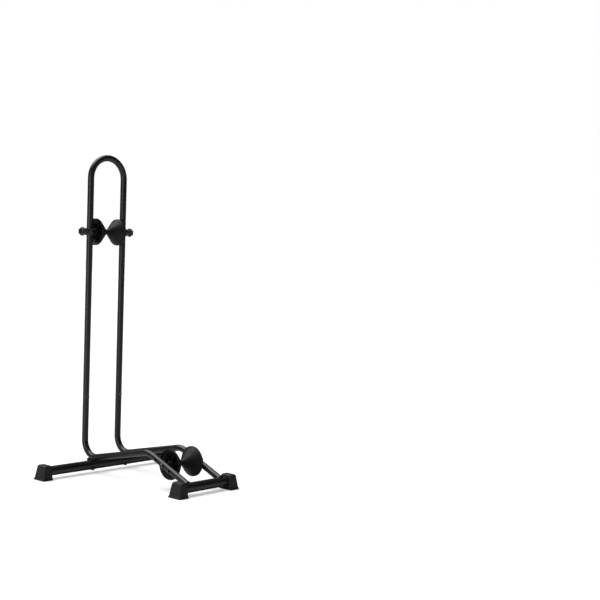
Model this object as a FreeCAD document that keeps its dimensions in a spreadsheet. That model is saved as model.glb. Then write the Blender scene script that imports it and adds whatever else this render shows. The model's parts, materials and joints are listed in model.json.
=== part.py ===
# Floor stand for one fat-tyred bicycle wheel: a bent tube hoop and two bent
# rails on two round bars, with an upper and a lower V-grooved roller.
#
# Frame: +X points to the open front where the wheel rolls in, +Z is up, and the
# stand's mirror plane is Y = 0. The origin is on the floor under the middle of
# the stand's box. Left is the -Y side. Lengths are millimetres, angles degrees.
import FreeCAD, Part
import math
import os
import Sketcher

os.makedirs("parts", exist_ok=True)
doc = FreeCAD.newDocument("wheel_stand")
V = FreeCAD.Vector

DIMENSIONS = {
    "tube_dia": 19.0,
    "tube_wall": 1.5,
    "leg_spacing": 124.0,
    "leg_x": -223.0,
    "joint_height": 203.0,
    "arch_height": 876.5,
    "spigot_dia": 15.8,
    "spigot_wall": 1.5,
    "spigot_length": 50.0,
    "shoulder_length": 6.0,
    "screw_height": 222.0,
    "heel_radius": 48.0,
    "heel_height": 94.7,
    "rail_rise": 11.9,
    "rail_fall": 21.6,
    "hump_radius": 60.0,
    "hump_x": 64.5,
    "rail_end_x": 236.0,
    "bar_dia": 28.0,
    "bar_wall": 2.0,
    "bar_height": 23.0,
    "rear_bar_x": -182.0,
    "front_bar_x": 238.0,
    "rear_span": 514.0,
    "front_span": 228.0,
    "foot_length": 50.0,
    "foot_width": 35.0,
    "foot_height": 43.0,
    "foot_corner": 3.0,
    "foot_end_wall": 10.5,
    "saddle_back": 17.5,
    "saddle_front": 14.0,
    "saddle_width": 20.0,
    "saddle_low": 28.0,
    "saddle_high": 42.0,
    "bolt_dia": 8.0,
    "bolt_hole": 8.6,
    "joint_screw_dia": 5.0,
    "axle_hole": 8.4,
    "vent_dia": 7.0,
    "axle_dia": 8.0,
    "bush_dia": 10.0,
    "lower_rim_radius": 43.5,
    "lower_roller_half": 45.0,
    "upper_rim_radius": 40.0,
    "upper_roller_half": 44.0,
    "lower_roller_x": 139.0,
    "hole_pitch": 32.2,
    "upper_roller_height": 717.0,
    "collar_dia": 26.0,
    "collar_height": 21.0,
    "knob_boss_dia": 20.5,
    "axle_boss_dia": 15.0,
    "knob_radius": 12.6,
    "knob_near": 79.0,
    "knob_far": 98.0,
}


class Size:
    """A dimension that keeps its value together with its sheet expression."""

    def __init__(self, value, text):
        self.value = float(value)
        self.text = text

    def combined(self, other, sign, value):
        text = other.text if isinstance(other, Size) else "%.6f" % other
        return Size(value, "(%s %s %s)" % (self.text, sign, text))

    def __add__(self, other):
        return self.combined(other, "+", self.value + float(other))

    def __sub__(self, other):
        return self.combined(other, "-", self.value - float(other))

    def __mul__(self, other):
        return self.combined(other, "*", self.value * float(other))

    def __truediv__(self, other):
        return self.combined(other, "/", self.value / float(other))

    def __neg__(self):
        return Size(-self.value, "(0 - %s)" % self.text)

    def __float__(self):
        return self.value


def make_sheet():
    """Write the driving dimensions into the spreadsheet and return them as sizes."""
    sheet = doc.addObject("Spreadsheet::Sheet", "dims")
    sizes = {}
    for row, (name, value) in enumerate(DIMENSIONS.items(), start=1):
        sheet.set("A%d" % row, name)
        sheet.set("B%d" % row, str(value))
        sheet.setAlias("B%d" % row, name)
        sizes[name] = Size(value, "dims.%s" % name)
    doc.recompute()
    return sizes


D = make_sheet()
TUBE_R = D["tube_dia"] / 2
TUBE_BORE = TUBE_R - D["tube_wall"]
BAR_R = D["bar_dia"] / 2
LEG_Y = D["leg_spacing"] / 2
AXLE_R = D["axle_dia"] / 2
BUSH_R = D["bush_dia"] / 2
SIDES = {"left": -1, "right": 1}
parts = []


def cos_of(degrees):
    return math.cos(math.radians(float(degrees)))


def bind(target, path, size):
    """Drive one property from the sheet."""
    if isinstance(size, Size):
        target.setExpression(path, size.text)
    else:
        target.setExpression(path, "%.6f" % size)


def keep(label, shaped):
    """Name a finished sub-part and list it for export."""
    shaped.Label = label
    parts.append(shaped)
    return shaped


# ---------------------------------------------------------------- body helpers
def new_body(name):
    return doc.addObject("PartDesign::Body", name)


def sketch(body, role, offset=0.0, name="Sketch"):
    """A sketch on one of the body's own origin planes, moved along its normal."""
    plane = [f for f in body.Origin.OriginFeatures if f.Role == role][0]
    made = body.newObject("Sketcher::SketchObject", name)
    made.AttachmentSupport = [(plane, "")]
    made.MapMode = "FlatFace"
    made.AttachmentOffset = FreeCAD.Placement(V(0, 0, float(offset)), FreeCAD.Rotation())
    if isinstance(offset, Size):
        bind(made, "AttachmentOffset.Base.z", offset)
    return made


def fix(made, kind, *refs_and_size):
    """Add a sketch dimension driven by the sheet."""
    *refs, size = refs_and_size
    value = float(size)
    if kind == "Angle":
        value = math.radians(value)
    index = made.addConstraint(Sketcher.Constraint(kind, *refs, value))
    if isinstance(size, Size):
        made.setExpression("Constraints[%d]" % index, size.text)


def place_point(made, geo, pos, x, y):
    """Locate a sketch point from the sketch origin."""
    fix(made, "DistanceX", -1, 1, geo, pos, x)
    fix(made, "DistanceY", -1, 1, geo, pos, y)


def circle(made, x, y, radius):
    """A located circle whose radius is driven."""
    shape = Part.Circle(V(float(x), float(y), 0), V(0, 0, 1), float(radius))
    geo = made.addGeometry(shape, False)
    place_point(made, geo, 3, x, y)
    fix(made, "Radius", geo, radius)
    return geo


def ring(made, x, y, outer, inner):
    circle(made, x, y, outer)
    circle(made, x, y, inner)


def polygon(made, corners):
    """A closed outline with every corner located."""
    count = len(corners)
    first = None
    for n in range(count):
        a = corners[n]
        b = corners[(n + 1) % count]
        line = Part.LineSegment(V(float(a[0]), float(a[1]), 0), V(float(b[0]), float(b[1]), 0))
        geo = made.addGeometry(line, False)
        if first is None:
            first = geo
    for n in range(count):
        following = first + (n + 1) % count
        made.addConstraint(Sketcher.Constraint("Coincident", first + n, 2, following, 1))
    for n in range(count):
        place_point(made, first + n, 1, corners[n][0], corners[n][1])


def pad(body, made, length, both=False, back=False):
    """Extrude a sketch along its normal, back the other way or about the middle."""
    feature = body.newObject("PartDesign::Pad", "Pad")
    feature.Profile = made
    feature.Length = float(length)
    bind(feature, "Length", length)
    feature.Midplane = both
    feature.Reversed = back
    return feature


def pocket(body, made, length, both=False, back=False):
    """Cut a sketch out and make sure that the cut removed something."""
    doc.recompute()
    before = body.Shape.Volume
    feature = body.newObject("PartDesign::Pocket", "Pocket")
    feature.Profile = made
    feature.Length = float(length)
    bind(feature, "Length", length)
    feature.Midplane = both
    feature.Reversed = back
    doc.recompute()
    if body.Shape.Volume >= before - 0.01:
        raise RuntimeError("a pocket in %s cut nothing" % body.Name)
    return feature


def revolve(body, made, axis="V_Axis"):
    feature = body.newObject("PartDesign::Revolution", "Revolution")
    feature.Profile = made
    feature.ReferenceAxis = (made, [axis])
    feature.Angle = 360.0
    return feature


def groove(body, made):
    """Turn material away round the sketch's vertical axis."""
    doc.recompute()
    before = body.Shape.Volume
    feature = body.newObject("PartDesign::Groove", "Groove")
    feature.Profile = made
    feature.ReferenceAxis = (made, ["V_Axis"])
    feature.Angle = 360.0
    doc.recompute()
    if body.Shape.Volume >= before - 0.01:
        raise RuntimeError("a groove in %s cut nothing" % body.Name)
    return feature


def bevel(body, size, chosen):
    """Chamfer the edges of the body's tip that the test picks."""
    doc.recompute()
    tip = body.Tip
    names = ["Edge%d" % (n + 1) for n, edge in enumerate(tip.Shape.Edges) if chosen(edge)]
    feature = body.newObject("PartDesign::Chamfer", "Chamfer")
    feature.Base = (tip, names)
    feature.Size = size
    doc.recompute()
    return feature


def tube_along(body, profile, path, edge_count):
    """Sweep a ring profile along a path sketch."""
    feature = body.newObject("PartDesign::AdditivePipe", "Tube")
    feature.Profile = profile
    feature.Spine = (path, ["Edge%d" % (n + 1) for n in range(edge_count)])
    doc.recompute()
    return feature


# ---------------------------------------------------------------- frame tubes
def make_hoop():
    """The upper hoop: two upright legs joined by a half-round arch."""
    body = new_body("hoop_body")
    path = sketch(body, "YZ_Plane", D["leg_x"], "HoopPath")
    half = float(LEG_Y)
    low = float(D["joint_height"])
    high = float(D["arch_height"])
    left = path.addGeometry(Part.LineSegment(V(-half, low, 0), V(-half, high, 0)), False)
    round_top = Part.Circle(V(0, high, 0), V(0, 0, 1), half)
    arch = path.addGeometry(Part.ArcOfCircle(round_top, 0, math.pi), False)
    right = path.addGeometry(Part.LineSegment(V(half, high, 0), V(half, low, 0)), False)
    path.addConstraint(Sketcher.Constraint("Vertical", left))
    path.addConstraint(Sketcher.Constraint("Vertical", right))
    path.addConstraint(Sketcher.Constraint("Tangent", left, 2, arch, 2))
    path.addConstraint(Sketcher.Constraint("Tangent", arch, 1, right, 1))
    path.addConstraint(Sketcher.Constraint("PointOnObject", arch, 3, -2))
    fix(path, "Radius", arch, LEG_Y)
    fix(path, "DistanceY", -1, 1, arch, 3, D["arch_height"])
    fix(path, "DistanceY", -1, 1, left, 1, D["joint_height"])
    fix(path, "DistanceY", -1, 1, right, 2, D["joint_height"])
    section = sketch(body, "XY_Plane", D["joint_height"], "HoopSection")
    ring(section, D["leg_x"], -LEG_Y, TUBE_R, TUBE_BORE)
    tube_along(body, section, path, 3)
    for side in SIDES.values():
        hole = sketch(body, "YZ_Plane", D["leg_x"], "ScrewHole")
        circle(hole, LEG_Y * side, D["screw_height"], D["joint_screw_dia"] / 2 + 0.2)
        pocket(body, hole, D["tube_dia"], back=True)
    keep("hoop", body)


def slope(degrees):
    """The forward direction that climbs at an angle, in the rail's own plane."""
    angle = math.radians(float(degrees))
    return V(math.cos(angle), math.sin(angle), 0)


def below(direction):
    """The direction square to a forward one, on its lower side."""
    return V(direction.y, -direction.x, 0)


def rail_route():
    """The rail's bend centres and tangent points, as X and Z in the rail's plane."""
    rising = slope(D["rail_rise"])
    falling = slope(-D["rail_fall"])
    heel = float(D["heel_radius"])
    hump = float(D["hump_radius"])
    heel_centre = V(float(D["leg_x"]) + heel, float(D["heel_height"]), 0)
    heel_end = heel_centre + below(rising) * heel
    run = (float(D["hump_x"]) - hump * rising.y - heel_end.x) / rising.x
    hump_start = heel_end + rising * run
    hump_centre = hump_start + below(rising) * hump
    hump_end = hump_centre - below(falling) * hump
    drop = (float(D["rail_end_x"]) - hump_end.x) / falling.x
    tail = hump_end + falling * drop
    return heel_centre, heel_end, hump_start, hump_centre, hump_end, tail


def rail_path(body, side):
    """Leg foot, heel bend, rising run, hump and falling run in one plane."""
    path = sketch(body, "XZ_Plane", LEG_Y * -side, "RailPath")
    heel_centre, heel_end, hump_start, hump_centre, hump_end, tail = rail_route()
    rise = math.radians(float(D["rail_rise"]))
    fall = math.radians(float(D["rail_fall"]))
    quarter = math.pi / 2
    top = V(float(D["leg_x"]), float(D["joint_height"]), 0)
    bottom = V(top.x, heel_centre.y, 0)
    a = path.addGeometry(Part.LineSegment(top, bottom), False)
    heel_circle = Part.Circle(heel_centre, V(0, 0, 1), float(D["heel_radius"]))
    b = path.addGeometry(Part.ArcOfCircle(heel_circle, math.pi, 3 * quarter + rise), False)
    c = path.addGeometry(Part.LineSegment(heel_end, hump_start), False)
    hump_circle = Part.Circle(hump_centre, V(0, 0, 1), float(D["hump_radius"]))
    e = path.addGeometry(Part.ArcOfCircle(hump_circle, quarter - fall, quarter + rise), False)
    f = path.addGeometry(Part.LineSegment(hump_end, tail), False)
    path.addConstraint(Sketcher.Constraint("Vertical", a))
    for first, end, second, start in ((a, 2, b, 1), (b, 2, c, 1), (c, 2, e, 2), (e, 1, f, 1)):
        path.addConstraint(Sketcher.Constraint("Tangent", first, end, second, start))
    place_point(path, a, 1, D["leg_x"], D["joint_height"])
    fix(path, "Radius", b, D["heel_radius"])
    fix(path, "DistanceY", -1, 1, b, 3, D["heel_height"])
    fix(path, "Angle", c, D["rail_rise"])
    fix(path, "Radius", e, D["hump_radius"])
    fix(path, "DistanceX", -1, 1, e, 3, D["hump_x"])
    fix(path, "Angle", f, -D["rail_fall"])
    fix(path, "DistanceX", -1, 1, f, 2, D["rail_end_x"])
    return path


def rail_height(x):
    """Height of the rail's axis on its falling run."""
    hump_end = rail_route()[4]
    falling = slope(-D["rail_fall"])
    return hump_end.y + (x - hump_end.x) * falling.y / falling.x


def heel_bolt_line():
    """Tilt of the line from the rear bar's axis square on to the heel bend."""
    across = float(D["leg_x"]) + float(D["heel_radius"]) - float(D["rear_bar_x"])
    up = float(D["heel_height"]) - float(D["bar_height"])
    return math.degrees(math.atan2(across, up))


def make_rail(side_name, side):
    """One lower rail, with the spigot that plugs into the hoop's leg."""
    body = new_body("rail_%s_body" % side_name)
    path = rail_path(body, side)
    section = sketch(body, "XY_Plane", D["joint_height"], "RailSection")
    ring(section, D["leg_x"], LEG_Y * side, TUBE_R, TUBE_BORE)
    tube_along(body, section, path, 5)
    spigot_r = D["spigot_dia"] / 2
    shoulder = sketch(body, "XY_Plane", D["joint_height"], "Shoulder")
    ring(shoulder, D["leg_x"], LEG_Y * side, TUBE_R, spigot_r - D["spigot_wall"])
    pad(body, shoulder, D["shoulder_length"], back=True)
    spigot = sketch(body, "XY_Plane", D["joint_height"], "Spigot")
    ring(spigot, D["leg_x"], LEG_Y * side, spigot_r, spigot_r - D["spigot_wall"])
    pad(body, spigot, D["spigot_length"])
    screw = sketch(body, "YZ_Plane", D["leg_x"], "ScrewHole")
    circle(screw, LEG_Y * side, D["screw_height"], D["joint_screw_dia"] / 2 + 0.05)
    pocket(body, screw, D["tube_dia"], back=True)
    seat = sketch(body, "XZ_Plane", LEG_Y * -side, "BarSeat")
    circle(seat, D["front_bar_x"], D["bar_height"], BAR_R)
    pocket(body, seat, D["tube_dia"] * 2, both=True)
    for step in (-1, 0, 1):
        x = float(D["lower_roller_x"]) + step * float(D["hole_pitch"]) * cos_of(D["rail_fall"])
        hole = sketch(body, "XZ_Plane", LEG_Y * -side, "AxleHole")
        circle(hole, x, rail_height(x), D["axle_hole"] / 2)
        pocket(body, hole, D["tube_dia"] * 2, both=True)
    bolt = sketch(body, "XY_Plane", 0.0, "BarBoltHole")
    tilt = FreeCAD.Rotation(V(0, 1, 0), heel_bolt_line())
    base = V(float(D["rear_bar_x"]), float(LEG_Y) * side, float(D["bar_height"]))
    bolt.AttachmentOffset = FreeCAD.Placement(base, tilt)
    circle(bolt, 0.0, 0.0, D["bolt_dia"] / 2 + 0.02)
    pocket(body, bolt, BAR_R + D["tube_dia"] * 0.8, back=True)
    keep("rail_%s" % side_name, body)


def make_bar(name, x, span, with_bolts):
    """A round cross bar; its ends sit in the feet."""
    body = new_body(name + "_body")
    section = sketch(body, "XZ_Plane", 0.0, "BarSection")
    ring(section, x, D["bar_height"], BAR_R, BAR_R - D["bar_wall"])
    pad(body, section, span - D["foot_end_wall"] * 2, both=True)
    if with_bolts:
        for side in SIDES.values():
            hole = sketch(body, "XY_Plane", 0.0, "BoltHole")
            tilt = FreeCAD.Rotation(V(0, 1, 0), heel_bolt_line())
            base = V(float(x), float(LEG_Y) * side, float(D["bar_height"]))
            hole.AttachmentOffset = FreeCAD.Placement(base, tilt)
            circle(hole, 0.0, 0.0, D["bolt_hole"] / 2)
            pocket(body, hole, D["bar_dia"] * 1.5, both=True)
    else:
        vent = sketch(body, "XY_Plane", D["bar_height"], "VentHole")
        circle(vent, x, 0.0, D["vent_dia"] / 2)
        pocket(body, vent, D["bar_dia"], back=True)
    keep(name, body)


def rounded_box(made, length, width, corner, shift):
    """A rectangle with round corners, its middle moved along the sketch's Y."""
    x = float(length) / 2
    y = float(width) / 2
    middle = float(shift)
    r = float(corner)
    quarter = math.pi / 2
    arcs = []
    for turn, (across, up) in enumerate(((1, 1), (-1, 1), (-1, -1), (1, -1))):
        whole = Part.Circle(V(across * (x - r), middle + up * (y - r), 0), V(0, 0, 1), r)
        arc = Part.ArcOfCircle(whole, turn * quarter, (turn + 1) * quarter)
        arcs.append(made.addGeometry(arc, False))
    sides = []
    for n in range(4):
        start = made.Geometry[arcs[n]].EndPoint
        end = made.Geometry[arcs[(n + 1) % 4]].StartPoint
        sides.append(made.addGeometry(Part.LineSegment(start, end), False))
    for n in range(4):
        made.addConstraint(Sketcher.Constraint("Tangent", arcs[n], 2, sides[n], 1))
        made.addConstraint(Sketcher.Constraint("Tangent", sides[n], 2, arcs[(n + 1) % 4], 1))
        level = "Horizontal" if n % 2 == 0 else "Vertical"
        made.addConstraint(Sketcher.Constraint(level, sides[n]))
    for n in range(1, 4):
        made.addConstraint(Sketcher.Constraint("Equal", arcs[0], arcs[n]))
    fix(made, "Radius", arcs[0], corner)
    fix(made, "DistanceX", sides[1], 1, sides[3], 1, length)
    fix(made, "DistanceY", sides[2], 1, sides[0], 1, width)
    place_point(made, arcs[0], 3, length / 2 - corner, width / 2 - corner + shift)


# Height, then how far the long sides, the outer end and the mouth end stand in
# from the base: an upright lip, a concave flare, a tapering block, a round top.
FOOT_LEVELS = (
    (0.0, 0.0, 0.0, 0.0),
    (2.5, 0.3, 0.5, 0.0),
    (5.0, 1.1, 2.0, 0.3),
    (9.0, 1.8, 3.2, 0.8),
    (21.0, 2.9, 4.8, 1.0),
    (32.0, 4.0, 7.3, 1.5),
    (37.0, 5.2, 8.5, 2.0),
    (40.0, 6.5, 10.0, 3.5),
    (42.0, 8.4, 11.8, 5.4),
)
FOOT_TOP_INSETS = (10.6, 13.6, 7.6)


def make_foot(name, x, y, turned):
    """A moulded foot: flared base, tapering block and a socket for the bar."""
    body = new_body(name + "_body")
    rings = []
    for height, side, outer, inner in FOOT_LEVELS + ((D["foot_height"],) + FOOT_TOP_INSETS,):
        level = sketch(body, "XY_Plane", height, "Level")
        width = D["foot_width"] - (outer + inner)
        rounded_box(level, D["foot_length"] - side * 2, width, D["foot_corner"], (outer - inner) / 2)
        rings.append(level)
    doc.recompute()
    loft = body.newObject("PartDesign::AdditiveLoft", "Block")
    loft.Profile = rings[0]
    loft.Sections = rings[1:]
    loft.Ruled = True
    mouth = sketch(body, "XZ_Plane", -(D["foot_width"] / 2), "Socket")
    circle(mouth, 0.0, D["bar_height"], BAR_R + 0.02)
    pocket(body, mouth, D["foot_width"] - D["foot_end_wall"], back=True)
    angle = 180.0 if turned else 0.0
    body.Placement = FreeCAD.Placement(V(float(x), float(y), 0), FreeCAD.Rotation(V(0, 0, 1), angle))
    keep(name, body)


# ---------------------------------------------------------------- part helpers
def cylinder(name, radius, length, base, direction):
    """A round Part primitive from a base point along a direction."""
    made = doc.addObject("Part::Cylinder", name)
    bind(made, "Radius", radius)
    bind(made, "Height", length)
    made.Placement = FreeCAD.Placement(base, FreeCAD.Rotation(V(0, 0, 1), direction))
    return made


def united(name, pieces):
    made = doc.addObject("Part::MultiFuse", name)
    made.Shapes = pieces
    made.Refine = True
    return made


def without(name, base, tool):
    made = doc.addObject("Part::Cut", name)
    made.Base = base
    made.Tool = tool
    return made


def grouped(label, pieces):
    """Identical pieces kept as separate solids of one node."""
    made = doc.addObject("Part::Compound", label + "_group")
    made.Links = pieces
    keep(label, made)


def make_saddle(side_name, side):
    """The shaped block between the rear bar and the heel of a rail."""
    block = doc.addObject("Part::Box", "saddle_block_" + side_name)
    bind(block, "Length", D["saddle_back"] + D["saddle_front"])
    bind(block, "Width", D["saddle_width"])
    bind(block, "Height", D["saddle_high"] - D["saddle_low"])
    corner = V(float(D["rear_bar_x"]) - float(D["saddle_back"]),
               float(LEG_Y) * side - float(D["saddle_width"]) / 2, float(D["saddle_low"]))
    block.Placement = FreeCAD.Placement(corner, FreeCAD.Rotation())
    base = V(float(D["rear_bar_x"]), float(LEG_Y) * side - 30, float(D["bar_height"]))
    bar = cylinder("saddle_bar_" + side_name, BAR_R, 60.0, base, V(0, 1, 0))
    heel = doc.addObject("Part::Torus", "saddle_heel_" + side_name)
    bind(heel, "Radius1", D["heel_radius"])
    bind(heel, "Radius2", TUBE_R)
    centre = V(float(D["leg_x"]) + float(D["heel_radius"]), float(LEG_Y) * side, float(D["heel_height"]))
    heel.Placement = FreeCAD.Placement(centre, FreeCAD.Rotation(V(1, 0, 0), 90))
    tilt = FreeCAD.Rotation(V(0, 1, 0), heel_bolt_line())
    foot = V(float(D["rear_bar_x"]), float(LEG_Y) * side, float(D["bar_height"]))
    hole = cylinder("saddle_hole_" + side_name, D["bolt_hole"] / 2, 50.0, foot, tilt.multVec(V(0, 0, 1)))
    tools = doc.addObject("Part::MultiFuse", "saddle_tools_" + side_name)
    tools.Shapes = [bar, heel, hole]
    keep("saddle_%s" % side_name, without("saddle_cut_" + side_name, block, tools))


def hexagon(name, base, direction, radius, length):
    """A hexagonal prism from a base point along a direction."""
    made = doc.addObject("Part::Prism", name)
    made.Polygon = 6
    made.Circumradius = radius
    made.Height = length
    made.Placement = FreeCAD.Placement(base, FreeCAD.Rotation(V(0, 0, 1), direction))
    return made


def socket_screw(name, seat, inward, shank_size, head_size, socket_size):
    """A screw with a flat round head; each size is a radius and a length."""
    head = cylinder(name + "_head", *head_size, seat, inward * -1)
    shank = cylinder(name + "_shank", *shank_size, seat, inward)
    socket = hexagon(name + "_socket", seat - inward * head_size[1], inward, *socket_size)
    whole = united(name + "_whole", [head, shank])
    return without(name, whole, socket)


def make_frame_bolts():
    """The two low-head bolts that come up through the rear bar into the heels."""
    bolts = []
    line = FreeCAD.Rotation(V(0, 1, 0), heel_bolt_line()).multVec(V(0, 0, 1))
    for name, side in SIDES.items():
        centre = V(float(D["rear_bar_x"]), float(LEG_Y) * side, float(D["bar_height"]))
        under = centre - line * (float(BAR_R) + 0.1)
        shank = (D["bolt_dia"] / 2, D["bar_dia"] + 12.0)
        bolts.append(socket_screw("frame_bolt_" + name, under, line, shank, (6.2, 2.4), (2.4, 1.5)))
    grouped("frame_bolts", bolts)


def make_joint_screws():
    """The screws that lock the hoop's legs on the rails' spigots."""
    screws = []
    for name, side in SIDES.items():
        surface = float(D["leg_x"]) + float(TUBE_R) + 0.05
        seat = V(surface, float(LEG_Y) * side, float(D["screw_height"]))
        shank = (D["joint_screw_dia"] / 2, 8.0)
        screws.append(socket_screw("joint_screw_" + name, seat, V(-1, 0, 0), shank, (4.6, 2.6), (1.7, 1.6)))
    grouped("joint_screws", screws)


# ---------------------------------------------------------------- rollers
CONE_WALL = 3.0
HUB_R = 9.5
WAIST_R = 6.6
RIM_BAND = 6.0
RIB_COUNT = 6
RIB_THICK = 2.4


def make_cone(label, centre, side, rim, half):
    """Half a roller: a hollow cone with a hub and ribs, its rim outwards."""
    body = new_body(label + "_body")
    shoulder = half - RIM_BAND
    slope_r = rim - 2.5
    slope_y = shoulder - 1.5
    outline = [
        (BUSH_R, 0.0), (WAIST_R, 0.0), (WAIST_R + 0.3, 2.0), (WAIST_R + 2.0, 4.6),
        (slope_r, slope_y), (rim - 0.5, shoulder + 0.8), (rim, shoulder + 2.2),
        (rim, half - 1.2), (rim - 1.2, half),
        (rim - CONE_WALL, half), (rim - CONE_WALL, shoulder + 2.5),
        (slope_r - 3.3, slope_y + 1.4), (HUB_R + 1.0, 11.0), (HUB_R, 12.0),
        (HUB_R, half), (BUSH_R, half),
    ]
    section = sketch(body, "XY_Plane", 0.0, "ConeSection")
    polygon(section, [(x, y * side) for x, y in outline])
    revolve(body, section)
    rib = sketch(body, "XY_Plane", 0.0, "RibSection")
    deep = half - 5.0
    rib_outline = [
        (HUB_R - 1.0, 12.5), (HUB_R - 1.0, deep), (rim - CONE_WALL + 0.8, deep),
        (rim - CONE_WALL + 0.8, shoulder + 2.0), (slope_r - 2.2, slope_y + 0.8), (HUB_R + 1.6, 11.0),
    ]
    polygon(rib, [(x, y * side) for x, y in rib_outline])
    web = pad(body, rib, RIB_THICK, both=True)
    doc.recompute()
    around = body.newObject("PartDesign::PolarPattern", "Ribs")
    around.Originals = [web]
    around.Axis = (section, ["V_Axis"])
    around.Angle = 360.0
    around.Occurrences = RIB_COUNT
    body.Tip = around
    body.Placement = FreeCAD.Placement(centre, FreeCAD.Rotation(V(0, 1, 0), 15.0))
    keep(label, body)


def tube_piece(label, centre, outer, inner, start, length):
    """A short tube along Y, from a given Y onwards."""
    body = new_body(label + "_body")
    section = sketch(body, "XZ_Plane", 0.0, "TubeSection")
    ring(section, 0.0, 0.0, outer, inner)
    pad(body, section, length, back=True)
    body.Placement = FreeCAD.Placement(centre + V(0, float(start), 0), FreeCAD.Rotation())
    return body


def make_roller(prefix, centre):
    rim = D[prefix + "_rim_radius"]
    half = D[prefix + "_roller_half"]
    for name, side in SIDES.items():
        make_cone("%s_cone_%s" % (prefix, name), centre, side, rim, half)
    bush = tube_piece(prefix + "_bush", centre, BUSH_R, AXLE_R + 0.06, -half, half * 2)
    keep(prefix + "_bush", bush)


def make_pair(label, centre, outer, inner, near, length):
    """Two like rings, mirrored about the stand's middle plane."""
    left = tube_piece(label + "_l", centre, outer, inner, -(near + length), length)
    right = tube_piece(label + "_r", centre, outer, inner, near, length)
    grouped(label, [left, right])


def make_lower_axle(centre):
    """A button-head bolt right through both rails, with washers and a lock nut."""
    outside = float(LEG_Y) + float(TUBE_R)
    washer = 1.6
    along = V(0, 1, 0)
    seat = centre - along * (outside + washer + 0.1)
    shank = (AXLE_R, 2 * outside + 13.0)
    keep("lower_axle", socket_screw("axle_bolt", seat, along, shank, (7.0, 4.4), (2.9, 2.6)))
    under_nut = centre + along * (outside + washer + 0.2)
    flats = hexagon("nut_flats", under_nut, along, 7.5, 6.6)
    cap = cylinder("nut_cap", 5.6, 1.5, under_nut + along * 6.6, along)
    bore = cylinder("nut_bore", AXLE_R + 0.02, 20.0, under_nut - along * 5, along)
    keep("lower_nut", without("nut_bored", united("nut_body", [flats, cap]), bore))
    make_pair("lower_washers", centre, 8.0, AXLE_R + 0.2, LEG_Y + TUBE_R + 0.05, washer)
    half = D["lower_roller_half"]
    gap = LEG_Y - TUBE_R - half
    make_pair("lower_spacers", centre, 7.0, AXLE_R + 0.2, half + 0.3, gap - 0.4)


def make_collar(side_name, side, centre):
    """A clamp collar round one leg, with a knob boss outside and an axle boss inside."""
    body = new_body("collar_%s_body" % side_name)
    sleeve = sketch(body, "XY_Plane", -(D["collar_height"] / 2), "Sleeve")
    ring(sleeve, 0.0, 0.0, D["collar_dia"] / 2, TUBE_R + 0.07)
    pad(body, sleeve, D["collar_height"])
    high = float(D["collar_height"]) / 2
    bevel(body, 1.0, lambda e: abs(abs(e.CenterOfMass.z) - high) < 0.01 and e.Length > 70)
    for name, reach, radius in (
        ("KnobBoss", D["knob_near"] - 0.4 - LEG_Y, D["knob_boss_dia"] / 2),
        ("AxleBoss", LEG_Y - D["upper_roller_half"] - 2.2, D["axle_boss_dia"] / 2),
    ):
        outward = side if name == "KnobBoss" else -side
        boss = sketch(body, "XZ_Plane", (TUBE_R + 1.2) * -outward, name)
        circle(boss, 0.0, 0.0, radius)
        pad(body, boss, reach - TUBE_R - 1.2, back=outward > 0)
    bore = sketch(body, "XZ_Plane", 0.0, "BossBore")
    circle(bore, 0.0, 0.0, AXLE_R + 0.04)
    pocket(body, bore, 60.0, both=True)
    place = centre + V(0, float(LEG_Y) * side, 0)
    body.Placement = FreeCAD.Placement(place, FreeCAD.Rotation())
    keep("collar_%s" % side_name, body)


KNOB_LOBES = 6


def make_knob(side_name, side, centre):
    """A lobed clamp knob on its threaded stud."""
    body = new_body("knob_%s_body" % side_name)
    length = D["knob_far"] - D["knob_near"]
    core = sketch(body, "XY_Plane", 0.0, "KnobCore")
    profile = [
        (AXLE_R + 0.02, 0.0), (7.4, 0.0), (7.4, 3.6), (9.4, 5.6), (9.8, 8.0), (9.8, length - 4.0),
        (7.8, length - 1.2), (6.0, length), (0.0, length), (0.0, 13.0), (AXLE_R + 0.02, 13.0),
    ]
    polygon(core, [(x, y * side) for x, y in profile])
    revolve(body, core)
    lobe = sketch(body, "XZ_Plane", -5.6 * side, "KnobLobe")
    circle(lobe, D["knob_radius"] - 4.0, 0.0, 4.0)
    lump = pad(body, lobe, length - 5.6 - 2.4, back=side > 0)
    doc.recompute()
    around = body.newObject("PartDesign::PolarPattern", "Lobes")
    around.Originals = [lump]
    around.Axis = (core, ["V_Axis"])
    around.Angle = 360.0
    around.Occurrences = KNOB_LOBES
    body.Tip = around
    trim = sketch(body, "XY_Plane", 0.0, "LobeTrim")
    rim = D["knob_radius"]
    ends = ((length - 2.4, length - 5.0), (Size(5.6, "5.6"), Size(7.4, "7.4")))
    for face, flank in ends:
        beyond = face + (0.5 if float(face) > float(flank) else -0.5)
        corners = [(rim - 3.0, beyond * side), (rim + 1.0, beyond * side), (rim + 1.0, flank * side),
                   (rim - 0.2, flank * side), (rim - 2.8, face * side)]
        polygon(trim, corners)
    groove(body, trim)
    place = centre + V(0, float(D["knob_near"]) * side, 0)
    body.Placement = FreeCAD.Placement(place, FreeCAD.Rotation())
    keep("knob_%s" % side_name, body)
    tip = float(LEG_Y) + float(TUBE_R) + 0.3
    start = centre + V(0, tip * side, 0)
    reach = float(D["knob_near"]) + 12.8 - tip
    keep("knob_stud_%s" % side_name,
         cylinder("stud_" + side_name, AXLE_R, reach, start, V(0, side, 0)))


def make_upper_axle(centre):
    reach = LEG_Y - TUBE_R - 0.3
    start = centre + V(0, -float(reach), 0)
    keep("upper_axle", cylinder("upper_axle_rod", AXLE_R, reach * 2, start, V(0, 1, 0)))
    make_pair("upper_washers", centre, 8.0, AXLE_R + 0.2, D["upper_roller_half"] + 0.3, 1.6)


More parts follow.
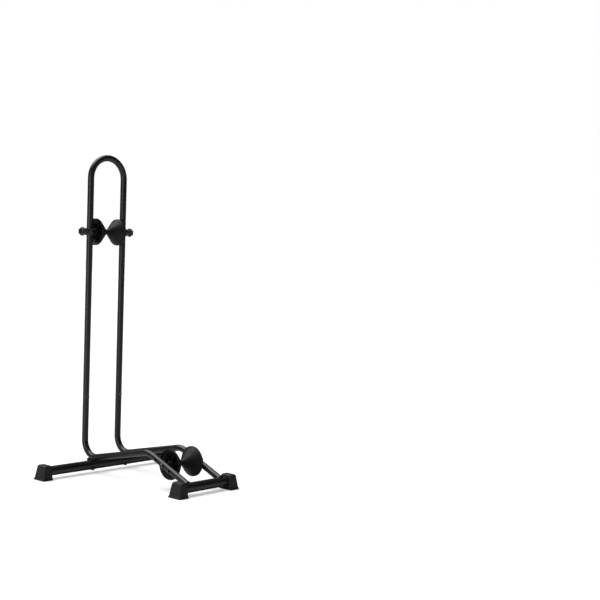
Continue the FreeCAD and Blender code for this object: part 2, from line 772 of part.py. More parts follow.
def build():
    make_hoop()
    for name, side in SIDES.items():
        make_rail(name, side)
        make_saddle(name, side)
    make_bar("rear_bar", D["rear_bar_x"], D["rear_span"], True)
    make_bar("front_bar", D["front_bar_x"], D["front_span"], False)
    for row, x, span in (("rear", D["rear_bar_x"], D["rear_span"]),
                         ("front", D["front_bar_x"], D["front_span"])):
        inset = (float(span) - float(D["foot_width"])) / 2
        make_foot(row + "_foot_left", x, -inset, False)
        make_foot(row + "_foot_right", x, inset, True)
    make_frame_bolts()
    make_joint_screws()
    lower_x = float(D["lower_roller_x"])
    lower = V(lower_x, 0, rail_height(lower_x))
    make_roller("lower", lower)
    make_lower_axle(lower)
    upper = V(float(D["leg_x"]), 0, float(D["upper_roller_height"]))
    make_roller("upper", upper)
    make_upper_axle(upper)
    for name, side in SIDES.items():
        make_collar(name, side, upper)
        make_knob(name, side, upper)


def check_document():
    """Stop if any object failed to recompute or any sub-part is unsound."""
    doc.recompute()
    for thing in doc.Objects:
        if "Invalid" in thing.State or "Error" in thing.State:
            raise RuntimeError("%s (%s) failed: %s" % (thing.Name, thing.Label, thing.State))
    for part in parts:
        if part.Shape.isNull() or not part.Shape.isValid():
            raise RuntimeError("%s has no valid shape" % part.Label)


def export():
    for part in parts:
        part.Shape.exportStep(os.path.join("parts", part.Label + ".step"))
        print("%-20s solids %d  volume %.0f" % (part.Label, len(part.Shape.Solids), part.Shape.Volume))


build()
check_document()
export()
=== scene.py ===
"""Looks for the bicycle wheel floor stand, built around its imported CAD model.

Lengths are metres and angles radians, unless a name ends in _DEG or _MM. Left is
the -Y side, +X is the open front, and every piece is made where the CAD has it.
"""
import json
import math

import bmesh
import bpy
from mathutils import Matrix, Vector


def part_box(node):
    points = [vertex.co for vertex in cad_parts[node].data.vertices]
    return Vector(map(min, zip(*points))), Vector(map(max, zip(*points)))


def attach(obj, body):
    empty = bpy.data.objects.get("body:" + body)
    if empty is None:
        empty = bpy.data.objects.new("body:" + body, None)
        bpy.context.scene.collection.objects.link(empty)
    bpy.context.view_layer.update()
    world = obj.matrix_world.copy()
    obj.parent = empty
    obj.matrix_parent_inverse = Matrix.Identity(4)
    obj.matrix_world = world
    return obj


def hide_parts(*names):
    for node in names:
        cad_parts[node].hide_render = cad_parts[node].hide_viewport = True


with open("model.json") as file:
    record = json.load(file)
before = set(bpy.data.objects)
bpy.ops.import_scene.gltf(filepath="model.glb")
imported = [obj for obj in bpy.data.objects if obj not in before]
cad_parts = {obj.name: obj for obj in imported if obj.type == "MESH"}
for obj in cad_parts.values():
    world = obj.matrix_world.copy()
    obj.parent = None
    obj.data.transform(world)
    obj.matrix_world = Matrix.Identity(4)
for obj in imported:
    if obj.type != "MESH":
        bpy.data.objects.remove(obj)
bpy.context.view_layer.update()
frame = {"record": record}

RECORD = frame["record"]
BODY_OF = {node: body for body, nodes in RECORD["behaviour"]["bodies"].items() for node in nodes}
SLOT_OF = {row["node"]: row["material_slot"] for row in RECORD["subparts"]}
MATERIALS = {}


# ------------------------------------------------------------ places from the CAD
def middle(node):
    low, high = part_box(node)
    return (Vector(low) + Vector(high)) / 2


def extent(node):
    low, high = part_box(node)
    return Vector(high) - Vector(low)


def top_of(node):
    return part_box(node)[1][2]


def foot_of(node):
    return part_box(node)[0][2]


SIDES = {"left": -1, "right": 1}
TUBE_R = extent("hoop").x / 2
TUBE_BORE = TUBE_R - 0.0015
LEG_X = middle("hoop").x
LEG_Y = extent("hoop").y / 2 - TUBE_R
JOINT_Z = foot_of("hoop")
ARCH_Z = top_of("hoop") - LEG_Y - TUBE_R
BAR_R = extent("front_bar").x / 2
BAR_WALL = 0.002
LOWER = middle("lower_bush")
UPPER = middle("upper_bush")

# The rail's bends, which its box doesn't tell.
HEEL_R = 0.048
HEEL_Z = 0.0947
RISE_DEG = 11.9
FALL_DEG = 21.6
HUMP_R = 0.060
HUMP_X = 0.0645
HOLE_PITCH = 0.0322
HOLE_R = 0.0042
VENT_R = 0.0035
AXLE_R = 0.004


# ------------------------------------------------------------ material helpers
class Nodes:
    """A small builder for one material's node tree."""

    def __init__(self, name):
        self.material = bpy.data.materials.new(name)
        self.material.use_nodes = True
        self.tree = self.material.node_tree
        self.shader = self.tree.nodes["Principled BSDF"]
        self.coords = self.tree.nodes.new("ShaderNodeTexCoord").outputs["Object"]

    def set(self, **values):
        for name, value in values.items():
            self.shader.inputs[name.replace("_", " ")].default_value = value

    def link(self, source, target):
        self.tree.links.new(source, target)

    def feed(self, name, source):
        """Drive one of the shader's inputs."""
        self.link(source, self.shader.inputs[name])

    def noise(self, scale, detail, roughness, stretch=None):
        node = self.tree.nodes.new("ShaderNodeTexNoise")
        node.inputs["Scale"].default_value = scale
        node.inputs["Detail"].default_value = detail
        node.inputs["Roughness"].default_value = roughness
        source = self.coords
        if stretch:
            mapping = self.tree.nodes.new("ShaderNodeMapping")
            mapping.inputs["Scale"].default_value = stretch
            self.link(self.coords, mapping.inputs["Vector"])
            source = mapping.outputs["Vector"]
        self.link(source, node.inputs["Vector"])
        return node.outputs["Fac"]

    def cells(self, scale):
        node = self.tree.nodes.new("ShaderNodeTexVoronoi")
        node.feature = "F1"
        node.inputs["Scale"].default_value = scale
        self.link(self.coords, node.inputs["Vector"])
        return node.outputs["Distance"]

    def ramp(self, source, low, high, from_value, to_value):
        node = self.tree.nodes.new("ShaderNodeMapRange")
        node.inputs["From Min"].default_value = low
        node.inputs["From Max"].default_value = high
        node.inputs["To Min"].default_value = from_value
        node.inputs["To Max"].default_value = to_value
        self.link(source, node.inputs["Value"])
        return node.outputs["Result"]

    def colours(self, source, stops):
        node = self.tree.nodes.new("ShaderNodeValToRGB")
        ramp = node.color_ramp
        ramp.elements[0].position, ramp.elements[0].color = stops[0][0], (*stops[0][1], 1)
        ramp.elements[1].position, ramp.elements[1].color = stops[-1][0], (*stops[-1][1], 1)
        for position, colour in stops[1:-1]:
            ramp.elements.new(position).color = (*colour, 1)
        self.link(source, node.inputs["Fac"])
        return node.outputs["Color"]

    def height(self):
        """How high a point stands above the floor."""
        split = self.tree.nodes.new("ShaderNodeSeparateXYZ")
        self.link(self.coords, split.inputs["Vector"])
        return split.outputs["Z"]

    def times(self, first, second):
        node = self.tree.nodes.new("ShaderNodeMath")
        node.operation = "MULTIPLY"
        self.link(first, node.inputs[0])
        self.link(second, node.inputs[1])
        return node.outputs["Value"]

    def blend(self, share, under, over):
        """Lay a plain colour over another by a share."""
        node = self.tree.nodes.new("ShaderNodeMix")
        node.data_type = "RGBA"
        self.link(share, node.inputs["Factor"])
        self.link(under, node.inputs["A"])
        node.inputs["B"].default_value = (*over, 1.0)
        return node.outputs["Result"]

    def bump(self, layers):
        """Stack (height source, strength, distance) layers of bump."""
        normal = None
        for source, strength, distance in layers:
            node = self.tree.nodes.new("ShaderNodeBump")
            node.inputs["Strength"].default_value = strength
            node.inputs["Distance"].default_value = distance
            self.link(source, node.inputs["Height"])
            if normal:
                self.link(normal, node.inputs["Normal"])
            normal = node.outputs["Normal"]
        self.link(normal, self.shader.inputs["Normal"])


# Where nearly all of a noise's values lie, and how foot scuffs look.
NOISE_SPAN = (0.3, 0.7)
SCUFF_HEIGHT = 0.006
SCUFF_PALER = 5.0
FLOOR_GLOW = 0.42


def powder_coat(name, shade, rough):
    """Satin black powder coat: soft orange peel, faint mottling and fine rub marks."""
    m = Nodes(name)
    m.set(Specular_IOR_Level=0.40)
    mottle = m.noise(scale=9.0, detail=4.0, roughness=0.6)
    dark = tuple(c * 0.8 for c in shade)
    light = tuple(c * 1.35 for c in shade)
    m.feed("Base Color", m.colours(mottle, [(0.3, dark), (0.55, shade), (0.75, light)]))
    sheen = m.noise(scale=24.0, detail=5.0, roughness=0.6)
    m.feed("Roughness", m.ramp(sheen, *NOISE_SPAN, rough - 0.05, rough + 0.07))
    streaks = m.noise(scale=60.0, detail=6.0, roughness=0.75, stretch=(1.0, 1.0, 0.06))
    rubs = m.ramp(streaks, 0.60, 0.72, 0.0, 1.0)
    fine_peel = m.noise(scale=900.0, detail=2.0, roughness=0.5)
    broad_peel = m.noise(scale=300.0, detail=2.0, roughness=0.5)
    m.bump([(fine_peel, 0.16, 0.0004), (broad_peel, 0.14, 0.0008), (rubs, 0.05, 0.0002)])
    return m.material


def moulded(name, shade, rough, gloss, grain, scuffed=False):
    """Moulded plastic with a fine spark-eroded grain, and pale scuffs low down if asked."""
    m = Nodes(name)
    m.set(Specular_IOR_Level=gloss)
    mottle = m.noise(scale=14.0, detail=4.0, roughness=0.6)
    dark = tuple(c * 0.85 for c in shade)
    light = tuple(c * 1.3 for c in shade)
    colour = m.colours(mottle, [(0.3, dark), (0.7, light)])
    if scuffed:
        low = m.ramp(m.height(), SCUFF_HEIGHT, 0.0, 0.0, 1.0)
        patches = m.noise(scale=220.0, detail=5.0, roughness=0.7)
        patchy = m.ramp(patches, 0.48, 0.66, 0.0, 0.7)
        colour = m.blend(m.times(low, patchy), colour, tuple(c * SCUFF_PALER for c in shade))
    m.feed("Base Color", colour)
    sheen = m.noise(scale=40.0, detail=4.0, roughness=0.6)
    m.feed("Roughness", m.ramp(sheen, *NOISE_SPAN, rough - 0.06, rough + 0.08))
    texture = m.cells(grain)
    waves = m.noise(scale=90.0, detail=3.0, roughness=0.5)
    m.bump([(texture, 0.28, 0.0004), (waves, 0.10, 0.0008)])
    return m.material


def black_steel(name):
    """Black-passivated steel, faintly mottled."""
    m = Nodes(name)
    m.set(Metallic=1.0)
    mottle = m.noise(scale=60.0, detail=4.0, roughness=0.6)
    m.feed("Base Color", m.colours(mottle, [(0.3, (0.05, 0.05, 0.052)), (0.7, (0.11, 0.11, 0.115))]))
    sheen = m.noise(scale=120.0, detail=3.0, roughness=0.5)
    m.feed("Roughness", m.ramp(sheen, *NOISE_SPAN, 0.3, 0.48))
    m.bump([(m.noise(scale=700.0, detail=2.0, roughness=0.5), 0.12, 0.0003)])
    return m.material


def floor_finish():
    """A plain pale floor, slightly uneven in its sheen, that glows to camera rays only."""
    m = Nodes("floor_pale")
    m.set(Specular_IOR_Level=0.2, Emission_Color=(1.0, 1.0, 1.0, 1.0))
    seen = m.tree.nodes.new("ShaderNodeLightPath").outputs["Is Camera Ray"]
    m.feed("Emission Strength", m.ramp(seen, 0.0, 1.0, 0.0, FLOOR_GLOW))
    mottle = m.noise(scale=1.4, detail=3.0, roughness=0.5)
    m.feed("Base Color", m.colours(mottle, [(0.3, (0.57, 0.57, 0.57)), (0.7, (0.59, 0.59, 0.59))]))
    sheen = m.noise(scale=3.0, detail=3.0, roughness=0.5)
    m.feed("Roughness", m.ramp(sheen, *NOISE_SPAN, 0.6, 0.75))
    return m.material


def build_materials():
    """One material for each slot of the record, and one for the knobs' caps."""
    MATERIALS["frame_paint"] = powder_coat("satin_black_powder_coat", (0.0055, 0.0055, 0.0058), rough=0.34)
    MATERIALS["collar_paint"] = powder_coat("collar_black_coat", (0.018, 0.018, 0.018), rough=0.40)
    MATERIALS["black_steel"] = black_steel("black_passivated_steel")
    MATERIALS["foot_plastic"] = moulded("foot_moulded_black", (0.0085, 0.0086, 0.0085),
                                        rough=0.55, gloss=0.27, grain=900.0, scuffed=True)
    MATERIALS["saddle_plastic"] = moulded("saddle_moulded_black", (0.003, 0.003, 0.0031),
                                          rough=0.6, gloss=0.13, grain=1200.0)
    MATERIALS["roller_plastic"] = moulded("roller_moulded_black", (0.0045, 0.0046, 0.0044),
                                          rough=0.56, gloss=0.20, grain=1200.0)
    # The knob grip's grey, lighter than the other black plastics, is painted light on its lit flank; the cap
    # below keeps the knob's own near-black.
    MATERIALS["knob_plastic"] = moulded("knob_moulded_painted_light", (0.030, 0.030, 0.0305),
                                        rough=0.50, gloss=0.32, grain=1500.0)
    MATERIALS["knob_cap"] = moulded("knob_cap_black", (0.004, 0.004, 0.0041),
                                    rough=0.48, gloss=0.15, grain=1500.0)


# ------------------------------------------------------------ shape helpers
def on_axis(origin, axis):
    """The placing whose Z runs along an axis from an origin."""
    turn = Vector(axis).to_track_quat("Z", "Y").to_matrix().to_4x4()
    return Matrix.Translation(Vector(origin)) @ turn


def join_rings(bm, rings, closed=False):
    """Skin a list of vertex rings; a ring of one vertex is a pole."""
    pairs = list(zip(rings, rings[1:]))
    if closed:
        pairs.append((rings[-1], rings[0]))
    for first, second in pairs:
        count = max(len(first), len(second))
        for n in range(count):
            after = (n + 1) % count
            if len(first) == 1:
                bm.faces.new((first[0], second[after], second[n]))
            elif len(second) == 1:
                bm.faces.new((first[n], first[after], second[0]))
            else:
                bm.faces.new((first[n], first[after], second[after], second[n]))


def turned(bm, rings, place, steps=64, closed=False):
    """Turn rings of (distance, radius) about the placing's Z; a radius may be a rule of the angle."""
    made = []
    for distance, radius in rings:
        if radius == 0:
            made.append([bm.verts.new(place @ Vector((0, 0, distance)))])
            continue
        ring = []
        for n in range(steps):
            angle = 2 * math.pi * n / steps
            reach = radius(angle) if callable(radius) else radius
            spot = Vector((reach * math.cos(angle), reach * math.sin(angle), distance))
            ring.append(bm.verts.new(place @ spot))
        made.append(ring)
    join_rings(bm, made, closed)


def rounded_edge(distance, radius, bevel, leaving, steps=4):
    """Rings round one outer edge, on the way out from the axis or, leaving, on the way back."""
    rings = []
    for n in range(steps + 1):
        angle = math.pi / 2 * n / steps
        sine, cosine = math.sin(angle), math.cos(angle)
        if leaving:
            rings.append((distance - bevel + bevel * sine, radius - bevel + bevel * cosine))
        else:
            rings.append((distance + bevel - bevel * cosine, radius - bevel + bevel * sine))
    return rings


def hexagon(corner_r):
    """A radius rule for a hexagon of a given corner radius."""
    flat = corner_r * math.cos(math.pi / 6)

    def rule(angle):
        turn = angle % (math.pi / 3) - math.pi / 6
        return flat / math.cos(turn)
    return rule


def prism(bm, outline, thickness, place):
    """A flat plate from an outline in the placing's XZ plane, thick along its Y."""
    sides = []
    for half in (-thickness / 2, thickness / 2):
        sides.append([bm.verts.new(place @ Vector((x, half, z))) for x, z in outline])
    bm.faces.new(sides[0])
    bm.faces.new(reversed(sides[1]))
    join_rings(bm, sides)


class Route:
    """A planar line of straight runs and tangent arcs, as points with headings."""

    def __init__(self, start, heading, normal):
        self.point = Vector(start)
        self.heading = Vector(heading)
        self.normal = Vector(normal)
        self.stops = [(self.point.copy(), self.heading.copy())]

    def straight(self, length, pieces=1):
        start = self.point.copy()
        for n in range(1, pieces + 1):
            self.point = start + self.heading * (length * n / pieces)
            self.stops.append((self.point.copy(), self.heading.copy()))

    def arc(self, radius, degrees, pieces):
        """Turn left about the normal by an angle; a negative angle turns right."""
        side = math.copysign(1, degrees)
        inward = self.normal.cross(self.heading) * side
        centre = self.point + inward * radius
        spoke = self.point - centre
        heading = self.heading.copy()
        for n in range(1, pieces + 1):
            turn = Matrix.Rotation(math.radians(degrees) * n / pieces, 3, self.normal)
            self.point = centre + turn @ spoke
            self.heading = turn @ heading
            self.stops.append((self.point.copy(), self.heading.copy()))

    def ring(self, bm, stop, radius, steps):
        point, heading = stop
        across = heading.cross(self.normal)
        ring = []
        for n in range(steps):
            angle = 2 * math.pi * n / steps
            offset = self.normal * math.cos(angle) + across * math.sin(angle)
            ring.append(bm.verts.new(point + offset * radius))
        return ring

    def tube(self, bm, outer, bore, chamfer, steps=48):
        """A closed hollow tube along the route, its outer end edges chamfered."""
        first, last = self.stops[0], self.stops[-1]
        rings = [self.ring(bm, first, outer - chamfer, steps)]
        rings.append(self.ring(bm, (first[0] + first[1] * chamfer, first[1]), outer, steps))
        for stop in self.stops[1:-1]:
            rings.append(self.ring(bm, stop, outer, steps))
        rings.append(self.ring(bm, (last[0] - last[1] * chamfer, last[1]), outer, steps))
        rings.append(self.ring(bm, last, outer - chamfer, steps))
        for stop in reversed(self.stops):
            rings.append(self.ring(bm, stop, bore, steps))
        join_rings(bm, rings, closed=True)

    def rod(self, bm, radius, steps=48):
        """A closed solid rod along the route, as a cutter."""
        rings = [self.ring(bm, stop, radius, steps) for stop in self.stops]
        join_rings(bm, rings)
        bm.faces.new(reversed(rings[0]))
        bm.faces.new(rings[-1])


BEAD_RIPPLE = 0.16


def bead(bm, points, radius, ripples, steps=10):
    """A closed weld bead round a loop of points, with the ripples of its passes."""
    count = len(points)
    middle_point = sum(points, Vector()) / count
    rings = []
    for n, point in enumerate(points):
        along = (points[(n + 1) % count] - points[n - 1]).normalized()
        outward = point - middle_point
        outward = (outward - along * outward.dot(along)).normalized()
        over = along.cross(outward)
        swell = radius * (1 + BEAD_RIPPLE * math.sin(2 * math.pi * ripples * n / count))
        ring = []
        for k in range(steps):
            angle = 2 * math.pi * k / steps
            ring.append(bm.verts.new(point + (outward * math.cos(angle) + over * math.sin(angle)) * swell))
        rings.append(ring)
    join_rings(bm, rings, closed=True)


def as_mesh(name, bm):
    bmesh.ops.recalc_face_normals(bm, faces=bm.faces)
    mesh = bpy.data.meshes.new(name)
    bm.to_mesh(mesh)
    bm.free()
    return mesh


def cut_away(target, build_tool, shells_overlap=False):
    """Cut a tool's volume out of a piece for good, first joining its own shells if they overlap."""
    bm = bmesh.new()
    build_tool(bm)
    tool = bpy.data.objects.new("tool", as_mesh("tool", bm))
    bpy.context.scene.collection.objects.link(tool)
    modifier = target.modifiers.new("cut", "BOOLEAN")
    modifier.operation = "DIFFERENCE"
    modifier.solver = "EXACT"
    modifier.use_self = shells_overlap
    modifier.object = tool
    bpy.context.view_layer.update()
    depsgraph = bpy.context.evaluated_depsgraph_get()
    mesh = bpy.data.meshes.new_from_object(target.evaluated_get(depsgraph))
    mesh.name = target.name
    target.modifiers.clear()
    target.data = mesh
    bpy.data.objects.remove(tool)


def settle(target, sharp_deg=35):
    """Smooth shading, with the real edges kept crisp."""
    target.data.shade_smooth()
    target.data.set_sharp_from_angle(angle=math.radians(sharp_deg))


def piece(name, bm, like, replaces=True, sharp_deg=35):
    """A finished piece that rides, and is finished, as a CAD node is."""
    made = bpy.data.objects.new(name, as_mesh(name, bm))
    made.data.materials.append(MATERIALS[SLOT_OF[like]])
    bpy.context.scene.collection.objects.link(made)
    settle(made, sharp_deg)
    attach(made, BODY_OF[like])
    if replaces:
        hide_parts(like)
    return made


# ------------------------------------------------------------ frame tubes
SEAM = 0.0007
LEG_PIECES = 6
ARCH_PIECES = 48
HEEL_PIECES = 28
HUMP_PIECES = 14
PLUG_DEPTH = 0.012
PLUG_BEVEL = 0.0005
PLUG_GAP = 0.00005
WELD_POINTS = 96
WELD_R = 0.0013
WELD_RIPPLES = 22
# Cutters reach this far past what they cut.
BAR_CUTTER_REACH = 0.2
HOLE_CUTTER_REACH = 0.02
VENT_CUTTER_START = 0.005


def make_hoop():
    route = Route((LEG_X, -LEG_Y, JOINT_Z), (0, 0, 1), (-1, 0, 0))
    route.straight(ARCH_Z - JOINT_Z, LEG_PIECES)
    route.arc(LEG_Y, 180, ARCH_PIECES)
    route.straight(ARCH_Z - JOINT_Z, LEG_PIECES)
    bm = bmesh.new()
    route.tube(bm, TUBE_R, TUBE_BORE, SEAM)
    piece("hoop_tube", bm, "hoop")


def rail_route(y):
    """From the joint down the leg, round the heel, up to the hump and down to the bar."""
    rise = math.radians(RISE_DEG)
    fall = math.radians(FALL_DEG)
    route = Route((LEG_X, y, JOINT_Z), (0, 0, -1), (0, -1, 0))
    route.straight(JOINT_Z - HEEL_Z, 2)
    route.arc(HEEL_R, 90 + RISE_DEG, HEEL_PIECES)
    reach = HUMP_X - HUMP_R * math.sin(rise) - route.point.x
    route.straight(reach / math.cos(rise), 3)
    route.arc(HUMP_R, -RISE_DEG - FALL_DEG, HUMP_PIECES)
    rail_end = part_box("rail_left")[1][0] - TUBE_R * math.sin(fall)
    route.straight((rail_end - route.point.x) / math.cos(fall), 8)
    return route


def pin(bm, radius, start, end, place, steps=64):
    """A plain solid cylinder along the placing's Z, as a cutter."""
    turned(bm, [(start, 0), (start, radius), (end, radius), (end, 0)], place, steps)


def bar_rod(bm, bar):
    """A cutter of a cross bar's own size on its axis."""
    pin(bm, BAR_R, -BAR_CUTTER_REACH, BAR_CUTTER_REACH, on_axis(middle(bar), (0, 1, 0)))


def make_rail(side_name, side):
    node = "rail_" + side_name
    y = LEG_Y * side
    bm = bmesh.new()
    route = rail_route(y)
    route.tube(bm, TUBE_R, TUBE_BORE, SEAM)
    plug = on_axis(route.point - route.heading * PLUG_DEPTH, route.heading)
    plug_r = TUBE_BORE - PLUG_GAP
    turned(bm, [(0.0, 0), (0.0, plug_r), (PLUG_DEPTH - PLUG_BEVEL, plug_r),
                (PLUG_DEPTH, plug_r - PLUG_BEVEL), (PLUG_DEPTH, 0)], plug, steps=48)
    rail = piece("rail_tube_" + side_name, bm, node)

    def holes(tool):
        fall = math.radians(FALL_DEG)
        for step in (-1, 0, 1):
            along = step * HOLE_PITCH
            centre = Vector((LOWER.x + along * math.cos(fall), y, LOWER.z - along * math.sin(fall)))
            pin(tool, HOLE_R, -HOLE_CUTTER_REACH, HOLE_CUTTER_REACH, on_axis(centre, (0, 1, 0)), steps=40)
    cut_away(rail, holes)
    cut_away(rail, lambda tool: bar_rod(tool, "front_bar"))
    settle(rail)


def rail_weld(side_name, side):
    """The bead where a rail's end is welded on the front bar."""
    bar = middle("front_bar")
    route = rail_route(LEG_Y * side)
    heading = route.heading
    normal = Vector((0, 1, 0))
    across = heading.cross(normal)
    points = []
    for n in range(WELD_POINTS):
        angle = 2 * math.pi * n / WELD_POINTS
        start = route.point + (normal * math.cos(angle) + across * math.sin(angle)) * TUBE_R
        gap = Vector((start.x - bar.x, 0, start.z - bar.z))
        lean = gap.dot(heading)
        reach = lean * lean - gap.length_squared + BAR_R ** 2
        travel = -lean - math.sqrt(max(reach, 0.0))
        points.append(start + heading * min(travel, 0.0))
    bm = bmesh.new()
    bead(bm, points, WELD_R, WELD_RIPPLES)
    piece("rail_weld_" + side_name, bm, "rail_" + side_name, replaces=False, sharp_deg=60)


def make_bar(node):
    half = extent(node).y / 2
    bore = BAR_R - BAR_WALL
    rings = [(-half, BAR_R - SEAM), (-half + SEAM, BAR_R), (half - SEAM, BAR_R), (half, BAR_R - SEAM),
             (half, bore), (-half, bore)]
    bm = bmesh.new()
    turned(bm, rings, on_axis(middle(node), (0, 1, 0)), steps=72, closed=True)
    return piece(node + "_tube", bm, node)


def make_bars():
    make_bar("rear_bar")
    front = make_bar("front_bar")
    top = on_axis(middle("front_bar"), (0, 0, 1))
    cut_away(front, lambda tool: pin(tool, VENT_R, VENT_CUTTER_START, HOLE_CUTTER_REACH, top, steps=32))
    settle(front)


# ------------------------------------------------------------ feet and saddles
# How far each face of a foot stands in from its base: at the top of the lip, at
# the top of the flare, at the top of the tapering walls and on the flat crown.
FOOT_FACES = {"side": (0.0003, 0.0021, 0.0049, 0.0106),
              "outer": (0.0005, 0.0037, 0.0083, 0.0136),
              "mouth": (0.0, 0.0009, 0.0019, 0.0076)}
LIP_TOP = 0.0025
FLARE_TOP = 0.012
WALL_TOP = 0.036
BASE_BEVEL = 0.0006
FOOT_CORNER_R = 0.003
FOOT_CORNER_GROWTH = 0.02
FOOT_END_WALL = 0.0105
SOCKET_GAP = 0.0001
SOCKET_CUTTER_REACH = 0.01
SADDLE_BEVEL = 0.0016


def foot_levels(height):
    """Heights with the three insets: bevelled lip, concave flare, tapering wall, round crown."""
    def insets(rule):
        return [rule(*FOOT_FACES[face]) for face in ("side", "outer", "mouth")]
    levels = [(0.0, insets(lambda lip, flare, wall, crown: BASE_BEVEL)),
              (BASE_BEVEL, insets(lambda lip, flare, wall, crown: 0.0)),
              (LIP_TOP, insets(lambda lip, flare, wall, crown: lip))]
    for n in range(1, 7):
        share = n / 6
        bend = 1 - (1 - share) ** 2
        levels.append((LIP_TOP + (FLARE_TOP - LIP_TOP) * share,
                       insets(lambda lip, flare, wall, crown: lip + (flare - lip) * bend)))
    for n in range(9):
        angle = math.pi / 2 * n / 8
        dip = 1 - math.cos(angle)
        levels.append((WALL_TOP + (height - WALL_TOP) * math.sin(angle),
                       insets(lambda lip, flare, wall, crown: wall + (crown - wall) * dip)))
    return levels


def rounded_ring(bm, place, half_x, low_y, high_y, corner, z):
    """A ring round a rectangle with round corners."""
    ring = []
    corners = ((half_x, high_y, 0), (-half_x, high_y, 1), (-half_x, low_y, 2), (half_x, low_y, 3))
    for x, y, quarter in corners:
        cx = x - math.copysign(corner, x)
        cy = y - corner if y == high_y else y + corner
        for n in range(9):
            angle = math.pi / 2 * (quarter + n / 8)
            point = Vector((cx + corner * math.cos(angle), cy + corner * math.sin(angle), z))
            ring.append(bm.verts.new(place @ point))
    return ring


def make_foot(node):
    """A moulded foot; its local +Y is the mouth that takes the bar."""
    size = extent(node)
    centre = middle(node)
    inward = -math.copysign(1, centre.y)
    turn = Matrix.Rotation(0 if inward > 0 else math.pi, 4, "Z")
    place = Matrix.Translation((centre.x, centre.y, 0)) @ turn
    bm = bmesh.new()
    rings = []
    for z, (side, outer, mouth) in foot_levels(size.z):
        corner = FOOT_CORNER_R + FOOT_CORNER_GROWTH * z
        rings.append(rounded_ring(bm, place, size.x / 2 - side, -size.y / 2 + outer,
                                  size.y / 2 - mouth, corner, z))
    join_rings(bm, rings)
    bm.faces.new(reversed(rings[0]))
    bm.faces.new(rings[-1])
    foot = piece(node + "_moulding", bm, node)
    bar = middle(node.replace("_left", "").replace("_right", "").replace("foot", "bar"))
    mouth_at = on_axis(place @ Vector((0, size.y / 2, bar.z)), (0, -inward, 0))
    deep = size.y - FOOT_END_WALL
    socket_r = BAR_R + SOCKET_GAP
    cut_away(foot, lambda tool: pin(tool, socket_r, -SOCKET_CUTTER_REACH, deep, mouth_at, steps=72))
    settle(foot, 30)


def make_saddle(side_name, side):
    """The block that beds a heel bend on the rear bar."""
    node = "saddle_" + side_name
    low, high = (Vector(corner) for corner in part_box(node))
    bm = bmesh.new()
    bmesh.ops.create_cube(bm, size=1.0)
    for vert in bm.verts:
        share = vert.co + Vector((0.5, 0.5, 0.5))
        vert.co = low + Vector(share[n] * (high - low)[n] for n in range(3))
    bmesh.ops.bevel(bm, geom=bm.edges[:], offset=SADDLE_BEVEL, segments=4, profile=0.5, affect="EDGES")
    saddle = piece(node + "_block", bm, node)
    cut_away(saddle, lambda tool: bar_rod(tool, "rear_bar"))
    cut_away(saddle, lambda tool: rail_route(LEG_Y * side).rod(tool, TUBE_R))
    settle(saddle, 30)


# ------------------------------------------------------------ rollers
# Distances along the axle start at the waist, where a roller's two cones meet.
HUB_R = 0.0095
HUB_BEVEL = 0.0008
WAIST_R = 0.0066
WAIST_LENGTH = 0.0052
WAIST_FLARE = 0.0026
RIM_BAND = 0.006
SLOPE_END_BACK = 0.0015
SLOPE_END_IN = 0.0025
CONE_WALL = 0.003
CUP_TOP_BACK = 0.0001
CUP_TOP_IN = 0.0058
CUP_FLOOR_Y = 0.011
CUP_FLOOR_R = HUB_R + 0.0018
RIB_THICK = 0.0024
RIB_COUNT = 6
RIB_TURN_DEG = 15
RIB_RECESS = 0.008
RIB_SINK = 0.0008
STIFFENER_HALF = 0.001


def cone_rings(rim, half):
    """Outside of a cone from its waist to the rim, then back down the cup to the hub.

    The small bare offsets are the roundings where slope, rim, cup and hub meet.
    """
    shoulder = half - RIM_BAND
    slope_r = rim - SLOPE_END_IN
    slope_y = shoulder - SLOPE_END_BACK
    rings = [(0.0, WAIST_R)]
    for n in range(1, 7):
        share = n / 6
        rings.append((WAIST_LENGTH * share, WAIST_R + WAIST_FLARE * share ** 2))
    rings += [(slope_y, slope_r), (slope_y + 0.0009, slope_r + 0.0007)]
    rings += rounded_edge(shoulder + 0.0005, rim, 0.0012, False)[1:]
    rings += rounded_edge(half, rim, 0.0009, True)
    inner = rim - CONE_WALL
    bore = extent("upper_bush").x / 2
    rings += [(half, inner + 0.0006), (half - 0.0006, inner), (shoulder + 0.0025, inner),
              (shoulder - CUP_TOP_BACK, rim - CUP_TOP_IN), (CUP_FLOOR_Y, CUP_FLOOR_R),
              (0.0118, HUB_R + 0.0006), (0.0126, HUB_R), (half - HUB_BEVEL, HUB_R),
              (half, HUB_R - HUB_BEVEL), (half, bore), (0.0, bore)]
    return rings


def rib_outline(rim, half):
    """A rib from the hub to just inside the cup's wall, which it must not pass through."""
    deep = half - RIB_RECESS
    wall_lean = (rim - CUP_TOP_IN - CUP_FLOOR_R) / (half - RIM_BAND - CUP_TOP_BACK - CUP_FLOOR_Y)
    end_r = CUP_FLOOR_R + (deep - CUP_FLOOR_Y) * wall_lean + 0.001
    root_r = HUB_R - 0.0006
    return [(root_r, CUP_FLOOR_Y - RIB_SINK), (root_r, deep), (HUB_R + 0.004, deep + 0.0004),
            (end_r - 0.004, deep + 0.0004), (end_r, deep - 0.0002),
            (CUP_FLOOR_R + 0.001, CUP_FLOOR_Y - RIB_SINK)]


